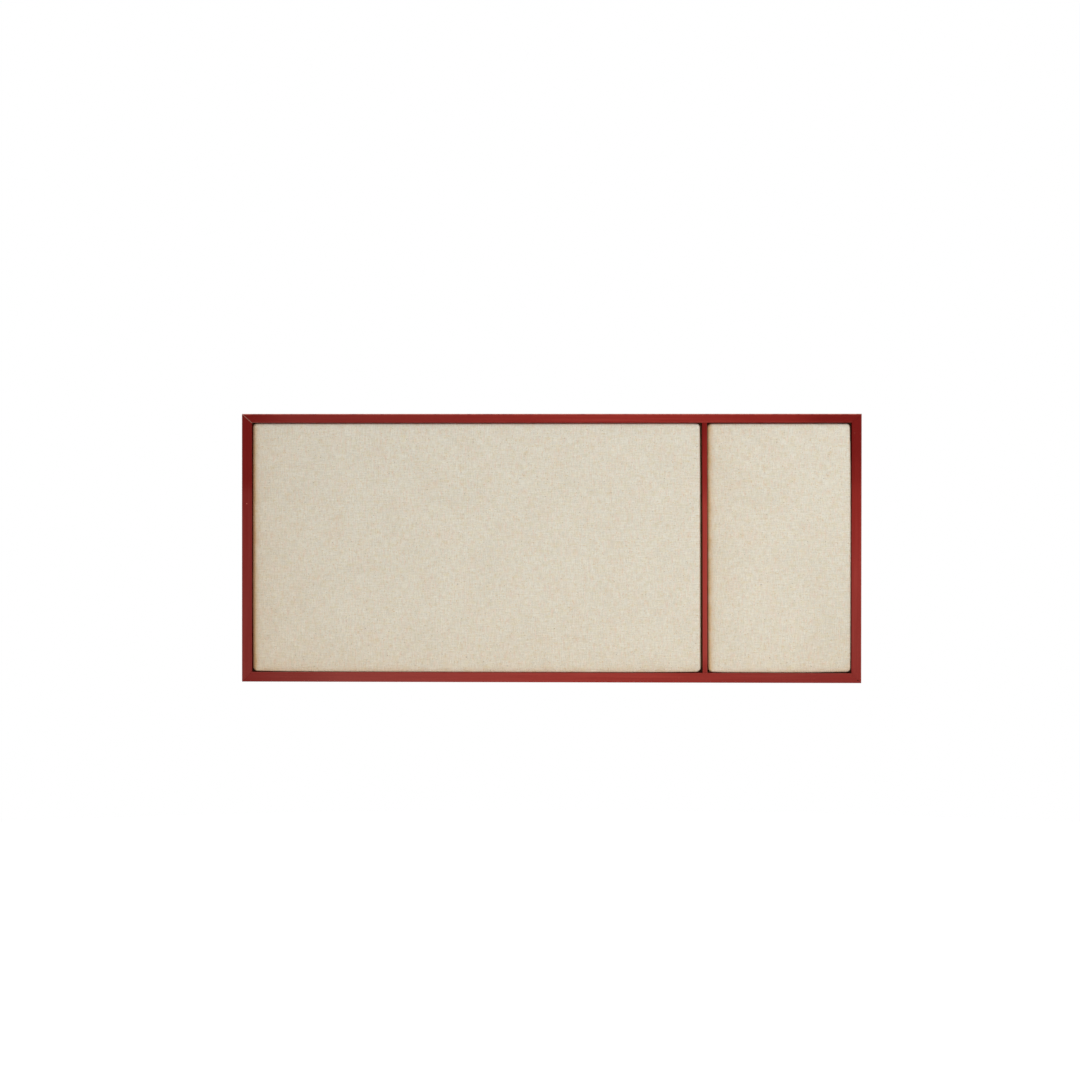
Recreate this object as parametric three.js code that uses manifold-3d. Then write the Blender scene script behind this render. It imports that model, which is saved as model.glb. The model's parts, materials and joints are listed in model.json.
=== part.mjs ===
// Pin board: two linen-wrapped panels that float in a red lacquered frame, which an upright divider splits.
// Millimetres. +Z is up, +X is the viewer's right, and the front of the board faces -Y.
// The origin lies on the wall plane, behind the middle of the board.
import * as THREE from "three";
import { mergeVertices } from "three/addons/utils/BufferGeometryUtils.js";
import Module from "manifold-3d";

const wasm = await Module();
wasm.setup();

// Frame
const boardWidth = 1200;
const boardHeight = 520;
const frameDepth = 25;
const stileFace = 19;
const topRailFace = 17;
const bottomRailFace = 19;
const arrisRadius = 1.6;
const backArrisRadius = 0.8;
const rebateWidth = 6;
const splineSide = 9;
const splineThickness = 3;
const splineDepth = 10;

// Divider
const dividerFace = 10.5;
const dividerCentre = 298;
const dividerSetback = 1;
const dividerArris = 1.2;
const tenonThickness = 5;
const tenonWidth = 10;
const tenonLength = 8;

// Back board
const backThickness = 4;
const backEdgeGap = 0.5;

// Linen panels
const coreThickness = 12;
const waddingThickness = 3;
const linenThickness = 0.8;
const linenTurnIn = 30;
const panelEdgeRadius = 4.5;
const panelBackRadius = 1.5;
const panelCornerRadius = 5;
const panelSideBow = 1.2;
const panelCrown = 1;
const largePanelSideGap = 3.6;
const smallPanelSideGap = 1.6;
const panelTopGap = 1.6;
const panelBottomGap = 1.4;
const panelScrewInset = 80;
const panelScrewBite = 9;

// Turn buttons
const turnButtonWidth = 8;
const turnButtonReach = 17;
const turnButtonThickness = 1.2;
const turnButtonPitch = 400;
const turnButtonScrewBite = 10;

// Hangers and bumpers
const strapWidth = 9;
const strapLength = 38;
const strapThickness = 1;
const strapScrewDrop = 20;
const strapScrewPitch = 11;
const strapScrewBite = 12;
const eyeBoreRadius = 1.6;
const ringWireRadius = 1.1;
const ringInnerWidth = 10.6;
const ringLeg = 6;
const ringBend = 2;
const hangerInset = 8;
const hangerDrop = 60;
const bumperRadius = 5;
const bumperHeight = 6;
const bumperCorner = 1;
const bumperInset = 45;

// Screws
const screwRadius = 1.5;
const screwPoint = 3;
const screwHeadRadius = 3.2;
const screwHeadHeight = 2;

// Clearances
const glueGap = 0.3;
const seatGap = 0.1;
const holeGap = 0.3;

// Smoothness
const arcSteps = 2;
const edgeSteps = 4;
const roundSides = 10;
const drillSides = 8;
const cornerSteps = 4;
const sideSteps = 4;
const ringSteps = 28;
const weldDistance = 1e-3;

// Planes, from the wall to the front
const backPlane = -(bumperHeight + seatGap);
const frontPlane = backPlane - frameDepth;
const boardRear = backPlane - seatGap;
const boardFront = boardRear - backThickness;
const rebateDepth = backThickness + 2 * seatGap;
const panelBack = boardFront - glueGap;
const coreFrontDepth = linenThickness + waddingThickness + 2 * glueGap;
const panelThickness = coreFrontDepth + coreThickness + glueGap + linenThickness;
const panelFront = panelBack - panelThickness;

// Openings of the frame
const openLeft = -boardWidth / 2 + stileFace;
const openRight = boardWidth / 2 - stileFace;
const openTop = boardHeight / 2 - topRailFace;
const openBottom = -boardHeight / 2 + bottomRailFace;
const dividerLeft = dividerCentre - dividerFace / 2;
const dividerRight = dividerCentre + dividerFace / 2;
const tenonDepth = (frameDepth - rebateDepth) / 2;

const redLacquer = new THREE.MeshStandardMaterial({ color: 0x8e302b, roughness: 0.42, metalness: 0 });
const linen = new THREE.MeshStandardMaterial({ color: 0xd8cfba, roughness: 0.95, metalness: 0 });
const wadding = new THREE.MeshStandardMaterial({ color: 0xf0eee8, roughness: 1, metalness: 0 });
const softboard = new THREE.MeshStandardMaterial({ color: 0xb49a73, roughness: 0.95, metalness: 0 });
const hardboard = new THREE.MeshStandardMaterial({ color: 0x6b4a30, roughness: 0.7, metalness: 0 });
const birchPly = new THREE.MeshStandardMaterial({ color: 0xcfae7c, roughness: 0.8, metalness: 0 });
const zincSteel = new THREE.MeshStandardMaterial({ color: 0xb4b6b8, roughness: 0.35, metalness: 1 });
const rubber = new THREE.MeshStandardMaterial({ color: 0x2a2523, roughness: 0.8, metalness: 0 });

// A closed geometry as a solid, with its shared corners welded and the triangles that this flattens left out.
function solidOf(geometry) {
  const bare = new THREE.BufferGeometry();
  bare.setAttribute("position", geometry.getAttribute("position"));
  if (geometry.index) bare.setIndex(geometry.index);
  const welded = mergeVertices(bare, weldDistance);
  const corners = welded.index.array;
  const kept = [];
  for (let i = 0; i < corners.length; i += 3) {
    const [a, b, c] = [corners[i], corners[i + 1], corners[i + 2]];
    if (a !== b && b !== c && c !== a) kept.push(a, b, c);
  }
  const vertProperties = welded.attributes.position.array;
  return new wasm.Manifold(new wasm.Mesh({ numProp: 3, vertProperties, triVerts: new Uint32Array(kept) }));
}

function geometryOf(solid) {
  const { vertProperties, triVerts } = solid.getMesh();
  const geometry = new THREE.BufferGeometry();
  geometry.setAttribute("position", new THREE.BufferAttribute(vertProperties, 3));
  geometry.setIndex(new THREE.BufferAttribute(triVerts, 1));
  return geometry;
}

function cut(geometry, tools) {
  return geometryOf(tools.reduce((left, tool) => left.subtract(solidOf(tool)), solidOf(geometry)));
}

function join(geometry, other) {
  return geometryOf(solidOf(geometry).add(solidOf(other)));
}

function common(geometry, other) {
  return geometryOf(solidOf(geometry).intersect(solidOf(other)));
}

function piece(group, name, geometry, material, place = [0, 0, 0]) {
  const mesh = new THREE.Mesh(geometryOf(solidOf(geometry)), material);
  mesh.name = name;
  mesh.position.set(...place);
  group.add(mesh);
  return mesh;
}

// A drill along Y from one depth to another.
function drill(x, z, from, to) {
  const bore = screwRadius + holeGap;
  const tool = new THREE.CylinderGeometry(bore, bore, to - from, drillSides);
  return tool.translate(x, (from + to) / 2, z);
}

// Frame section, with its rebate: u runs from the outer edge to the opening, v from the front to the back.
function frameSection(face) {
  const shelf = frameDepth - rebateDepth;
  const land = face - rebateWidth;
  const section = new THREE.Shape();
  section.moveTo(arrisRadius, 0);
  section.lineTo(face - arrisRadius, 0);
  section.absarc(face - arrisRadius, arrisRadius, arrisRadius, -Math.PI / 2, 0, false);
  section.lineTo(face, shelf);
  section.lineTo(land, shelf);
  section.lineTo(land, frameDepth);
  section.lineTo(backArrisRadius, frameDepth);
  section.absarc(backArrisRadius, frameDepth - backArrisRadius, backArrisRadius, Math.PI / 2, Math.PI, false);
  section.lineTo(0, arrisRadius);
  section.absarc(arrisRadius, arrisRadius, arrisRadius, Math.PI, 1.5 * Math.PI, false);
  return section;
}

// A frame member along its own l axis. Each end is mitred to the face of the member that it meets there.
function mitredBar(face, length, startFace, endFace) {
  const bar = new THREE.ExtrudeGeometry(frameSection(face), {
    depth: length,
    steps: 1,
    bevelEnabled: false,
    curveSegments: arcSteps,
  });
  bar.translate(0, 0, -length / 2);
  const trim = (other) => ((glueGap / 2) * Math.hypot(face, other)) / face;
  const points = bar.getAttribute("position");
  for (let i = 0; i < points.count; i++) {
    const [u, l] = [points.getX(i), points.getZ(i)];
    const other = l > 0 ? endFace : startFace;
    points.setZ(i, l - Math.sign(l) * ((u * other) / face + trim(other)));
  }
  return bar;
}

// The slot that a mitre spline fills, in a member's own axes, at its end (side 1) or its start (side -1).
function splineSlot(face, length, other, side) {
  const wide = splineSide + 2 * glueGap;
  const slot = new THREE.BoxGeometry(wide, splineThickness + 2 * glueGap, wide);
  slot.rotateY(side * Math.atan2(other, face));
  return slot.translate(face / 2, splineDepth, side * (length / 2 - other / 2));
}

// The mortise for the divider's tenon, in a rail's own axes.
function mortise(face, along) {
  const slot = new THREE.BoxGeometry(2 * tenonLength, tenonWidth + 2 * glueGap, tenonThickness + 2 * glueGap);
  return slot.translate(face, tenonDepth, along);
}

// A pilot hole from the back of a member, in the member's own axes.
function pilot(inset, along, bite) {
  return drill(inset, along, frameDepth - bite - holeGap, frameDepth + 1);
}

const landMiddle = (face) => (face - rebateWidth) / 2;
const buttonAlong = [-turnButtonPitch, 0, turnButtonPitch];
const hangerHeight = boardHeight / 2 - hangerDrop;
const strapScrews = [strapScrewDrop, strapScrewDrop + strapScrewPitch];

function frameMember(group, { name, face, length, ends, across, along, place, tools }) {
  const slots = [splineSlot(face, length, ends[1], 1), splineSlot(face, length, ends[0], -1)];
  const bar = cut(mitredBar(face, length, ends[0], ends[1]), [...slots, ...tools]);
  const member = piece(group, name, bar, redLacquer, place);
  const basis = new THREE.Matrix4().makeBasis(across, new THREE.Vector3(0, 1, 0), along);
  member.quaternion.setFromRotationMatrix(basis);
}

function makeFrame() {
  const frame = new THREE.Group();
  const axis = (x, z) => new THREE.Vector3(x, 0, z);
  const railPilots = (face) => buttonAlong.map((l) => pilot(landMiddle(face), l, turnButtonScrewBite));
  const stilePilots = (up) => [
    pilot(landMiddle(stileFace), 0, turnButtonScrewBite),
    ...strapScrews.map((drop) => pilot(hangerInset, up * (hangerHeight - drop), strapScrewBite)),
  ];
  frameMember(frame, {
    name: "frame_top_rail",
    face: topRailFace,
    length: boardWidth,
    ends: [stileFace, stileFace],
    across: axis(0, -1),
    along: axis(1, 0),
    place: [0, frontPlane, boardHeight / 2],
    tools: [mortise(topRailFace, dividerCentre), ...railPilots(topRailFace)],
  });
  frameMember(frame, {
    name: "frame_bottom_rail",
    face: bottomRailFace,
    length: boardWidth,
    ends: [stileFace, stileFace],
    across: axis(0, 1),
    along: axis(-1, 0),
    place: [0, frontPlane, -boardHeight / 2],
    tools: [mortise(bottomRailFace, -dividerCentre), ...railPilots(bottomRailFace)],
  });
  frameMember(frame, {
    name: "frame_left_stile",
    face: stileFace,
    length: boardHeight,
    ends: [bottomRailFace, topRailFace],
    across: axis(1, 0),
    along: axis(0, 1),
    place: [-boardWidth / 2, frontPlane, 0],
    tools: stilePilots(1),
  });
  frameMember(frame, {
    name: "frame_right_stile",
    face: stileFace,
    length: boardHeight,
    ends: [topRailFace, bottomRailFace],
    across: axis(-1, 0),
    along: axis(0, -1),
    place: [boardWidth / 2, frontPlane, 0],
    tools: stilePilots(-1),
  });
  return frame;
}

// Loose splines that lock the four mitres together.
function makeSplines() {
  const splines = new THREE.Group();
  const corners = [
    ["top_left", -1, 1, topRailFace],
    ["top_right", 1, 1, topRailFace],
    ["bottom_left", -1, -1, bottomRailFace],
    ["bottom_right", 1, -1, bottomRailFace],
  ];
  for (const [corner, right, up, railFace] of corners) {
    const x = (right * (boardWidth - stileFace)) / 2;
    const z = (up * (boardHeight - railFace)) / 2;
    const tongue = new THREE.BoxGeometry(splineSide, splineThickness, splineSide);
    const place = [x, frontPlane + splineDepth, z];
    const spline = piece(splines, `mitre_spline_${corner}`, tongue, birchPly, place);
    spline.rotation.y = -right * up * Math.atan2(railFace, stileFace);
  }
  return splines;
}

// The divider bar, with a stub tenon at each end.
function makeDivider() {
  const divider = new THREE.Group();
  const half = dividerFace / 2;
  const depth = frameDepth - dividerSetback - rebateDepth + seatGap - glueGap;
  const length = openTop - openBottom - 2 * glueGap;
  const section = new THREE.Shape();
  section.moveTo(-half + dividerArris, 0);
  section.absarc(half - dividerArris, dividerArris, dividerArris, -Math.PI / 2, 0, false);
  section.lineTo(half, depth);
  section.lineTo(-half, depth);
  section.absarc(-half + dividerArris, dividerArris, dividerArris, Math.PI, 1.5 * Math.PI, false);
  const bar = new THREE.ExtrudeGeometry(section, {
    depth: length,
    steps: 1,
    bevelEnabled: false,
    curveSegments: arcSteps,
  });
  bar.translate(0, 0, -length / 2);
  const tenons = new THREE.BoxGeometry(tenonThickness, tenonWidth, length + 2 * tenonLength - 2 * glueGap);
  tenons.translate(0, tenonDepth - dividerSetback, 0);
  const place = [dividerCentre, frontPlane + dividerSetback, (openTop + openBottom) / 2];
  piece(divider, "divider_bar", join(bar, tenons), redLacquer, place);
  return divider;
}

// Where each panel sits in its opening, and where the screws go into it from behind.
function panelPlan(name, left, right, sideGap, columns) {
  const halfWidth = (right - left) / 2 - sideGap;
  const halfHeight = (openTop - openBottom - panelTopGap - panelBottomGap) / 2;
  const reachX = halfWidth - panelScrewInset;
  const reachZ = halfHeight - panelScrewInset;
  const screws = [];
  for (let i = 0; i < columns; i++) {
    const x = -reachX + (2 * reachX * i) / (columns - 1);
    screws.push([x, reachZ], [x, -reachZ]);
  }
  const centre = [(left + right) / 2, (openTop - panelTopGap + openBottom + panelBottomGap) / 2];
  return { name, halfWidth, halfHeight, screws, centre };
}

const panels = [
  panelPlan("large_panel", openLeft, dividerLeft, largePanelSideGap, 3),
  panelPlan("small_panel", dividerRight, openRight, smallPanelSideGap, 2),
];

// A panel's outline, drawn in from its edge by the inset. Each side bows out a little between round corners.
function panelOutline({ halfWidth, halfHeight }, inset) {
  const [w, h] = [halfWidth - inset, halfHeight - inset];
  const arcs = [
    [1, -1],
    [1, 1],
    [-1, 1],
    [-1, -1],
  ].map(([sx, sz], quarter) => {
    const centre = new THREE.Vector2(sx * (w - panelCornerRadius), sz * (h - panelCornerRadius));
    const start = (quarter - 1) * (Math.PI / 2);
    return Array.from({ length: cornerSteps + 1 }, (_, i) => {
      const angle = start + (i / cornerSteps) * (Math.PI / 2);
      const spoke = new THREE.Vector2(Math.cos(angle), Math.sin(angle)).multiplyScalar(panelCornerRadius);
      return spoke.add(centre);
    });
  });
  const points = arcs.flatMap((arc, quarter) => {
    const next = arcs[(quarter + 1) % arcs.length][0];
    const last = arc[cornerSteps];
    const shares = Array.from({ length: sideSteps - 1 }, (_, i) => (i + 1) / sideSteps);
    const side = shares.map((share) => last.clone().lerp(next, share));
    return [...arc, ...side];
  });
  return points.map(({ x, y: z }) => [
    x - panelSideBow * Math.sign(x) * Math.abs(x / w) * (z / h) ** 2,
    z - panelSideBow * Math.sign(z) * Math.abs(z / h) * (x / w) ** 2,
  ]);
}

// A skin over a stack of outlines, closed over the middle of the first one and of the last one.
function skin(plan, stations) {
  const ring = ({ inset, depth }) => panelOutline(plan, inset).map(([x, z]) => [x, depth, z]);
  const rings = stations.map(ring);
  const n = rings[0].length;
  const last = rings.length - 1;
  const points = [...rings.flat(), [0, stations[0].depth, 0], [0, stations[last].depth, 0]];
  const frontPole = rings.length * n;
  const faces = [];
  for (let j = 0; j < n; j++) {
    const k = (j + 1) % n;
    faces.push(frontPole, j, k);
    for (let i = 0; i < last; i++) {
      const [a, b, c, d] = [i * n + j, i * n + k, (i + 1) * n + j, (i + 1) * n + k];
      faces.push(a, c, d, a, d, b);
    }
    faces.push(frontPole + 1, last * n + k, last * n + j);
  }
  const geometry = new THREE.BufferGeometry();
  geometry.setAttribute("position", new THREE.Float32BufferAttribute(points.flat(), 3));
  geometry.setIndex(faces);
  return geometry;
}

// The crowned front, a given thickness below its surface, from the middle out to where the edge turns.
function crownStations({ halfHeight }, below) {
  const middle = halfHeight * 0.6;
  return [1, 0.45, 0.15, 0].map((share) => {
    const inset = panelEdgeRadius + share * (middle - panelEdgeRadius);
    return { inset, depth: below - panelCrown * Math.sin((share * Math.PI) / 2) };
  });
}

// The round front edge between two depths, a given thickness below its surface, then straight down the side.
function edgeStations(below, from, to) {
  const radius = panelEdgeRadius - below;
  const turn = (depth) => Math.acos(Math.min(1, Math.max(0, (panelEdgeRadius - depth) / radius)));
  const [start, end] = [turn(from), turn(to)];
  const stations = [];
  for (let i = 0; i <= edgeSteps; i++) {
    const angle = start + ((end - start) * i) / edgeSteps;
    const inset = panelEdgeRadius - radius * Math.sin(angle);
    stations.push({ inset, depth: panelEdgeRadius - radius * Math.cos(angle) });
  }
  if (to > panelEdgeRadius) stations.push({ inset: below, depth: to });
  return stations;
}

// The linen: one sheet over the front, round the edges and turned in behind, with both of its faces.
function linenCover(plan) {
  const inside = linenThickness;
  const outer = [
    ...crownStations(plan, 0).slice(0, -1),
    ...edgeStations(0, 0, panelThickness - panelBackRadius),
    { inset: panelBackRadius * 0.3, depth: panelThickness - panelBackRadius * 0.3 },
    { inset: panelBackRadius, depth: panelThickness },
    { inset: linenTurnIn, depth: panelThickness },
  ];
  const inner = [
    { inset: linenTurnIn, depth: panelThickness - inside },
    ...edgeStations(inside, inside, panelThickness - inside).reverse(),
    ...crownStations(plan, inside).reverse().slice(1),
  ];
  return skin(plan, [...outer, ...inner]);
}

// The wadding under the linen, as thick as it is over the flat of the board and thinned where the edge turns.
function waddingPad(plan) {
  const below = linenThickness + glueGap;
  const back = below + waddingThickness;
  return skin(plan, [...crownStations(plan, below).slice(0, -1), ...edgeStations(below, below, back)]);
}

function softboardCore(plan) {
  const below = linenThickness + glueGap;
  const back = coreFrontDepth + coreThickness;
  const core = skin(plan, edgeStations(below, coreFrontDepth, back));
  return cut(
    core,
    plan.screws.map(([x, z]) => drill(x, z, back - panelScrewBite - holeGap, back + 1)),
  );
}

function makePanel(plan) {
  const panel = new THREE.Group();
  const [x, z] = plan.centre;
  panel.position.set(x, panelFront, z);
  piece(panel, `${plan.name}_core`, softboardCore(plan), softboard);
  piece(panel, `${plan.name}_wadding`, waddingPad(plan), wadding);
  piece(panel, `${plan.name}_linen`, linenCover(plan), linen);
  return panel;
}

// A pan-head screw along +Y, with its head's underside at the origin.
function screw(shank) {
  const profile = [
    [0, -shank],
    [screwRadius, -shank + screwPoint],
    [screwRadius, 0],
    [screwHeadRadius, 0],
    [screwHeadRadius, screwHeadHeight * 0.35],
    [screwHeadRadius * 0.8, screwHeadHeight * 0.8],
    [screwHeadRadius * 0.4, screwHeadHeight],
    [0, screwHeadHeight],
  ].map(([r, y]) => new THREE.Vector2(r, y));
  return new THREE.LatheGeometry(profile, roundSides);
}

// The back board in the rebate, with the screws that hold the panels on it.
function makeBack() {
  const back = new THREE.Group();
  const width = boardWidth - 2 * (stileFace - rebateWidth) - 2 * backEdgeGap;
  const top = boardHeight / 2 - topRailFace + rebateWidth - backEdgeGap;
  const bottom = -boardHeight / 2 + bottomRailFace - rebateWidth + backEdgeGap;
  const sheet = new THREE.BoxGeometry(width, backThickness, top - bottom);
  const middle = [0, (boardFront + boardRear) / 2, (top + bottom) / 2];
  sheet.translate(...middle);
  const places = panels.flatMap(({ name, screws, centre }) =>
    screws.map(([x, z], i) => ({ name: `${name}_screw_${i + 1}`, x: x + centre[0], z: z + centre[1] })),
  );
  const holes = places.map(({ x, z }) => drill(x, z, boardFront - 1, boardRear + 1));
  piece(back, "back_board", cut(sheet, holes), hardboard);
  const coreBack = panelFront + coreFrontDepth + coreThickness;
  const seat = boardRear + seatGap;
  for (const { name, x, z } of places) {
    piece(back, name, screw(seat - coreBack + panelScrewBite), zincSteel, [x, seat, z]);
  }
  return back;
}

// A turn button that points down from its pivot, lying on the plane of the frame's back.
function turnButton() {
  const half = turnButtonWidth / 2;
  const plan = new THREE.Shape();
  plan.absarc(0, 0, half, 0, Math.PI, false);
  plan.absarc(0, -turnButtonReach + half, half, Math.PI, 2 * Math.PI, false);
  const bore = new THREE.Path();
  bore.absarc(0, 0, screwRadius + holeGap, 0, 2 * Math.PI, true);
  plan.holes.push(bore);
  const plate = new THREE.ExtrudeGeometry(plan, {
    depth: turnButtonThickness,
    steps: 1,
    bevelEnabled: false,
    curveSegments: edgeSteps,
  });
  return plate.rotateX(Math.PI / 2).translate(0, turnButtonThickness, 0);
}

// The turn buttons that keep the back board in its rebate, each on its own screw.
function makeTurnButtons() {
  const buttons = new THREE.Group();
  const topHeight = boardHeight / 2 - landMiddle(topRailFace);
  const bottomHeight = -boardHeight / 2 + landMiddle(bottomRailFace);
  const sideways = boardWidth / 2 - landMiddle(stileFace);
  const names = ["left", "middle", "right"];
  const places = [
    ...names.map((name, i) => ({ name: `top_${name}`, x: buttonAlong[i], z: topHeight, turn: 0 })),
    ...names.map((name, i) => ({ name: `bottom_${name}`, x: buttonAlong[i], z: bottomHeight, turn: Math.PI })),
    { name: "side_left", x: -sideways, z: 0, turn: -Math.PI / 2 },
    { name: "side_right", x: sideways, z: 0, turn: Math.PI / 2 },
  ];
  const seat = backPlane + seatGap;
  const headSeat = seat + turnButtonThickness + seatGap;
  for (const { name, x, z, turn } of places) {
    const button = piece(buttons, `turn_button_${name}`, turnButton(), zincSteel, [x, seat, z]);
    button.rotation.y = turn;
    const shank = headSeat - backPlane + turnButtonScrewBite;
    piece(buttons, `turn_button_screw_${name}`, screw(shank), zincSteel, [x, headSeat, z]);
  }
  return buttons;
}

// A strap hanger below its ring's axis: a steel strip whose top end is rolled into an eye.
function hangerStrap() {
  const eye = eyeBoreRadius + strapThickness;
  const meet = Math.asin((strapThickness - eye) / eye);
  const side = new THREE.Shape();
  side.moveTo(strapLength, 0);
  side.lineTo(strapLength, strapThickness);
  side.absarc(0, eye, eye, meet, 1.5 * Math.PI, false);
  const bore = new THREE.Path();
  bore.absarc(0, eye, eyeBoreRadius, 0, 2 * Math.PI, true);
  side.holes.push(bore);
  const strip = new THREE.ExtrudeGeometry(side, {
    depth: strapWidth,
    steps: 1,
    bevelEnabled: false,
    curveSegments: drillSides,
  });
  strip.translate(0, 0, -strapWidth / 2);
  strip.applyMatrix4(new THREE.Matrix4().makeBasis(
    new THREE.Vector3(0, 0, -1),
    new THREE.Vector3(0, 1, 0),
    new THREE.Vector3(1, 0, 0),
  ));
  const half = strapWidth / 2;
  const plan = new THREE.Shape();
  plan.moveTo(half, 2 * eye);
  plan.lineTo(-half, 2 * eye);
  plan.absarc(0, half - strapLength, half, Math.PI, 2 * Math.PI, false);
  const block = new THREE.ExtrudeGeometry(plan, {
    depth: 4 * eye,
    steps: 1,
    bevelEnabled: false,
    curveSegments: edgeSteps,
  });
  block.rotateX(Math.PI / 2).translate(0, 3 * eye, 0);
  return cut(
    common(strip, block),
    strapScrews.map((drop) => drill(0, -drop, -1, strapThickness + 1)),
  );
}

// The D-shaped ring: a straight bar through the eye, with two legs and a half-round bow that hang from it.
class RingLine extends THREE.Curve {
  constructor() {
    super();
    const half = ringInnerWidth / 2 + ringWireRadius;
    this.flat = new THREE.Path();
    this.flat.moveTo(0, 0);
    this.flat.lineTo(half - ringBend, 0);
    this.flat.absarc(half - ringBend, -ringBend, ringBend, Math.PI / 2, 0, true);
    this.flat.lineTo(half, -ringLeg);
    this.flat.absarc(0, -ringLeg, half, 0, -Math.PI, true);
    this.flat.lineTo(-half, -ringBend);
    this.flat.absarc(-half + ringBend, -ringBend, ringBend, Math.PI, Math.PI / 2, true);
    this.flat.lineTo(0, 0);
  }

  getPoint(t) {
    const { x, y } = this.flat.getPoint(t);
    return new THREE.Vector3(x, 0, y);
  }
}

// The two hangers on the stiles, each with its ring and screws.
function makeHangers() {
  const hangers = new THREE.Group();
  const seat = backPlane + seatGap;
  const axis = seat + strapThickness + eyeBoreRadius;
  const headSeat = seat + strapThickness + seatGap;
  for (const [side, right] of [["left", -1], ["right", 1]]) {
    const x = right * (boardWidth / 2 - hangerInset);
    piece(hangers, `hanger_strap_${side}`, hangerStrap(), zincSteel, [x, seat, hangerHeight]);
    const ring = new THREE.TubeGeometry(new RingLine(), ringSteps, ringWireRadius, drillSides, true);
    piece(hangers, `hanger_ring_${side}`, ring, zincSteel, [x, axis, hangerHeight]);
    strapScrews.forEach((drop, i) => {
      const name = `hanger_screw_${side}_${i ? "lower" : "upper"}`;
      const shank = headSeat - backPlane + strapScrewBite;
      piece(hangers, name, screw(shank), zincSteel, [x, headSeat, hangerHeight - drop]);
    });
  }
  return hangers;
}

// Rubber bumpers that hold the foot of the frame off the wall.
function makeBumpers() {
  const bumpers = new THREE.Group();
  const profile = [
    [0, -bumperHeight],
    [bumperRadius, -bumperHeight],
    [bumperRadius, -bumperCorner],
    [bumperRadius - bumperCorner * 0.3, -bumperCorner * 0.3],
    [bumperRadius - bumperCorner, 0],
    [0, 0],
  ].map(([r, y]) => new THREE.Vector2(r, y));
  const z = -boardHeight / 2 + landMiddle(bottomRailFace);
  for (const [side, right] of [["left", -1], ["right", 1]]) {
    const x = right * (boardWidth / 2 - bumperInset);
    const disc = new THREE.LatheGeometry(profile, 2 * roundSides);
    piece(bumpers, `wall_bumper_${side}`, disc, rubber, [x, 0, z]);
  }
  return bumpers;
}

const pinBoard = new THREE.Group();
pinBoard.add(makeFrame(), makeSplines(), makeDivider(), makeBack(), ...panels.map(makePanel));
pinBoard.add(makeTurnButtons(), makeHangers(), makeBumpers());

export default pinBoard;
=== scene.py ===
import json
import math
import random

import bmesh
import bpy
from mathutils import Matrix, Vector, kdtree, noise

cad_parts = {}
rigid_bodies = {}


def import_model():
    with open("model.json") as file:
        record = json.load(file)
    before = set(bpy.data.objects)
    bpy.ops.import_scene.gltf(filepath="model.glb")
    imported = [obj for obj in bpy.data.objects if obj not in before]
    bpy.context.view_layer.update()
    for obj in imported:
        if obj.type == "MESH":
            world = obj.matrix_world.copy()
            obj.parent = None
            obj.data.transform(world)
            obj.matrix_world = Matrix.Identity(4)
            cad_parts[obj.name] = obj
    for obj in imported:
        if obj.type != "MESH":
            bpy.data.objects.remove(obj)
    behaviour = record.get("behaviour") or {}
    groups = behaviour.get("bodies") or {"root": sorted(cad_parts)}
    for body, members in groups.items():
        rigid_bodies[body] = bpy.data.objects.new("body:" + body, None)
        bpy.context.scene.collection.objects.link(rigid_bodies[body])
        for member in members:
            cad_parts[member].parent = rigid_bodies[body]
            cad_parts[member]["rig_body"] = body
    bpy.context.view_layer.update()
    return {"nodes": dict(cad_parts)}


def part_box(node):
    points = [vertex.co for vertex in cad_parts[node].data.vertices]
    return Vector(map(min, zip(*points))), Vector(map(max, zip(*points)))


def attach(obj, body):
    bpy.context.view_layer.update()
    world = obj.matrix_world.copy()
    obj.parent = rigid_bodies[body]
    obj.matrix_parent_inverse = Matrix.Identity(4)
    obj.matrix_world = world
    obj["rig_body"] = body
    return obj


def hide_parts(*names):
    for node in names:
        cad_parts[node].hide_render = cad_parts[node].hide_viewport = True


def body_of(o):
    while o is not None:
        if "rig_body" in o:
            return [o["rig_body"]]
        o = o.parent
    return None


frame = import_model()
mm = 0.001
tiny = 1e-6  # points closer than this are one point
hair = 1e-9  # room for rounding
quarter = math.pi / 2
scene = bpy.context.scene
ops = bmesh.ops
scene.view_settings.view_transform = "Standard"
print("frame loaded:", len(frame["nodes"]), "nodes")


def linear(red, green, blue):  # 0-255 screen colour to scene colour
    def one(value):
        share = value / 255
        return share / 12.92 if share <= 0.04045 else ((share + 0.055) / 1.055) ** 2.4

    return (one(red), one(green), one(blue), 1.0)


# Shader maths
class Wire:  # a socket that can stand in a sum
    def __init__(self, nodes, socket):
        self.nodes, self.socket = nodes, socket

    def maths(self, operation, first, second=0.0):
        return self.nodes.node("Math", {"operation": operation}, {0: first, 1: second})

    def __add__(self, other):
        return self.maths("ADD", self, other)

    __radd__ = __add__

    def __sub__(self, other):
        return self.maths("SUBTRACT", self, other)

    def __rsub__(self, other):
        return self.maths("SUBTRACT", other, self)

    def __mul__(self, other):
        return self.maths("MULTIPLY", self, other)

    def size(self):
        return self.maths("ABSOLUTE", self)

    def wave(self):
        return self.maths("SINE", self)

    def most(self, other):
        return self.maths("MAXIMUM", self, other)

    def rise(self, low, high):  # 0 below low, 1 above high
        settings = {"interpolation_type": "SMOOTHSTEP"}
        inputs = {"Value": self, "From Min": low, "From Max": high}
        return self.nodes.node("MapRange", settings, inputs)


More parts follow.
